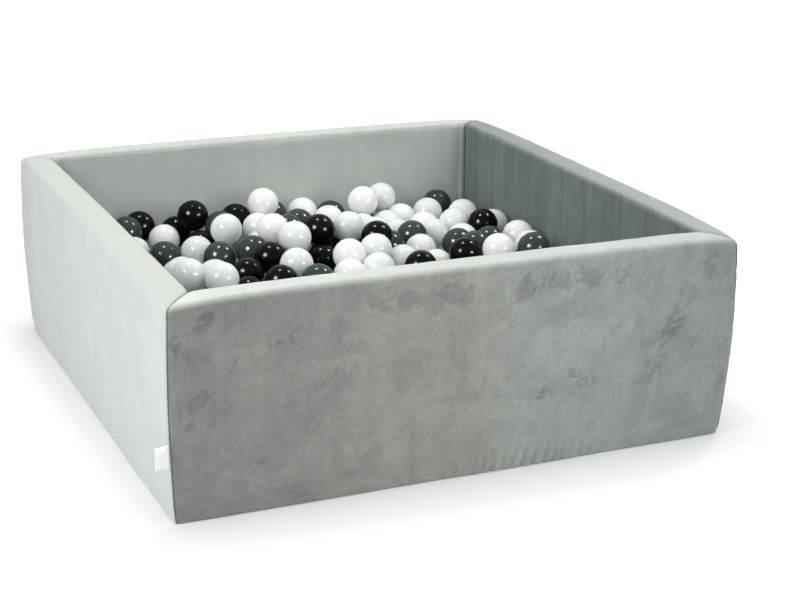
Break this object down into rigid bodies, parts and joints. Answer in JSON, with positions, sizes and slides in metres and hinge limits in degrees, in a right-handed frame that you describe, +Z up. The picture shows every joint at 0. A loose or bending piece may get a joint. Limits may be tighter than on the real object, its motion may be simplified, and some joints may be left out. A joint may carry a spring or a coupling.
{
  "type": "ball pit",
  "caption": "Square foam-walled ball pit wrapped in velvet, with a foam mat inside, a zip low on the back wall, a blank side label and loose plastic balls.",
  "frame": {"origin": "centre of the underside, on the floor", "axes": "+Z up, -Y towards the near wall, -X towards the left wall with the side label at the corner between them"},
  "size_m": [1.1337, 1.1145, 0.398],
  "materials": {
    "velvet": "crushed velvet",
    "foam": "open-cell foam",
    "base": "woven, non-slip",
    "mat": "woven",
    "tape": "woven tape",
    "nylon": "matt",
    "zinc": "satin",
    "ribbon": "satin ribbon",
    "ball_mix": "gloss",
    "black": "gloss",
    "graphite": "gloss",
    "white": "gloss",
    "pearl": "pearl gloss"
  },
  "bodies": {
    "pit": {"wall_foam_front": "foam", "wall_foam_right": "foam", "wall_foam_back": "foam", "wall_foam_left": "foam", "cover_front": "velvet", "cover_right": "velvet", "cover_back": "velvet", "cover_left": "velvet", "base_panel": "base", "zip_tape_upper": "tape", "zip_tape_lower": "tape", "zip_chain": "nylon", "zip_stop_closed": "zinc", "zip_stop_open": "zinc"},
    "mat": {"mat_cover_top": "mat", "mat_cover_bottom": "mat", "mat_foam": "foam"},
    "ball_fill": {"ball_bed": "ball_mix", "ball_01_graphite": "graphite", "ball_02_black": "black", "ball_03_black": "black", "ball_05_graphite": "graphite", "ball_06_black": "black", "ball_07_pearl": "pearl", "ball_09_graphite": "graphite", "ball_12_white": "white", "ball_14_graphite": "graphite", "ball_16_pearl": "pearl", "ball_17_pearl": "pearl", "ball_22_black": "black", "ball_24_white": "white", "ball_25_graphite": "graphite"},
    "slider": {"zip_slider": "zinc"},
    "pull": {"zip_pull": "zinc"},
    "label": {"side_label": "ribbon"},
    "ball_04": {"ball_04_graphite": "graphite"},
    "ball_08": {"ball_08_pearl": "pearl"},
    "ball_10": {"ball_10_pearl": "pearl"},
    "ball_11": {"ball_11_black": "black"},
    "ball_13": {"ball_13_pearl": "pearl"},
    "ball_15": {"ball_15_white": "white"},
    "ball_18": {"ball_18_black": "black"},
    "ball_19": {"ball_19_pearl": "pearl"},
    "ball_20": {"ball_20_pearl": "pearl"},
    "ball_21": {"ball_21_black": "black"},
    "ball_23": {"ball_23_white": "white"},
    "ball_26": {"ball_26_white": "white"},
    "ball_27": {"ball_27_white": "white"},
    "ball_28": {"ball_28_pearl": "pearl"},
    "ball_29": {"ball_29_graphite": "graphite"}
  },
  "joints": [
    {"name": "mat_lift", "type": "slide", "parent": "pit", "child": "mat", "axis": [0, 0, 1], "range_m": [0, 0.4]},
    {"name": "fill_lift", "type": "slide", "parent": "mat", "child": "ball_fill", "axis": [0, 0, 1], "range_m": [0, 0.35]},
    {"name": "zip_travel", "type": "slide", "parent": "pit", "child": "slider", "axis": [1, 0, 0], "range_m": [0, 0.783]},
    {"name": "pull_swing", "type": "hinge", "parent": "slider", "child": "pull", "pos_m": [-0.3917, 0.54635, 0.036], "axis": [0, 0, 1], "range_deg": [0, 160]},
    {"name": "label_swing", "type": "hinge", "parent": "pit", "child": "label", "pos_m": [-0.55158, -0.55158, 0.128], "axis": [0, 0, 1], "range_deg": [-15, 70]},
    {"name": "ball_04_lift", "type": "slide", "parent": "ball_fill", "child": "ball_04", "axis": [0, 0, 1], "range_m": [0, 0.2]},
    {"name": "ball_08_lift", "type": "slide", "parent": "ball_fill", "child": "ball_08", "axis": [0, 0, 1], "range_m": [0, 0.2]},
    {"name": "ball_10_lift", "type": "slide", "parent": "ball_fill", "child": "ball_10", "axis": [0, 0, 1], "range_m": [0, 0.2]},
    {"name": "ball_11_lift", "type": "slide", "parent": "ball_fill", "child": "ball_11", "axis": [0, 0, 1], "range_m": [0, 0.2]},
    {"name": "ball_13_lift", "type": "slide", "parent": "ball_fill", "child": "ball_13", "axis": [0, 0, 1], "range_m": [0, 0.2]},
    {"name": "ball_15_lift", "type": "slide", "parent": "ball_fill", "child": "ball_15", "axis": [0, 0, 1], "range_m": [0, 0.2]},
    {"name": "ball_18_lift", "type": "slide", "parent": "ball_fill", "child": "ball_18", "axis": [0, 0, 1], "range_m": [0, 0.2]},
    {"name": "ball_19_lift", "type": "slide", "parent": "ball_fill", "child": "ball_19", "axis": [0, 0, 1], "range_m": [0, 0.2]},
    {"name": "ball_20_lift", "type": "slide", "parent": "ball_fill", "child": "ball_20", "axis": [0, 0, 1], "range_m": [0, 0.2]},
    {"name": "ball_21_lift", "type": "slide", "parent": "ball_fill", "child": "ball_21", "axis": [0, 0, 1], "range_m": [0, 0.2]},
    {"name": "ball_23_lift", "type": "slide", "parent": "ball_fill", "child": "ball_23", "axis": [0, 0, 1], "range_m": [0, 0.2]},
    {"name": "ball_26_lift", "type": "slide", "parent": "ball_fill", "child": "ball_26", "axis": [0, 0, 1], "range_m": [0, 0.2]},
    {"name": "ball_27_lift", "type": "slide", "parent": "ball_fill", "child": "ball_27", "axis": [0, 0, 1], "range_m": [0, 0.2]},
    {"name": "ball_28_lift", "type": "slide", "parent": "ball_fill", "child": "ball_28", "axis": [0, 0, 1], "range_m": [0, 0.2]},
    {"name": "ball_29_lift", "type": "slide", "parent": "ball_fill", "child": "ball_29", "axis": [0, 0, 1], "range_m": [0, 0.2]}
  ]
}
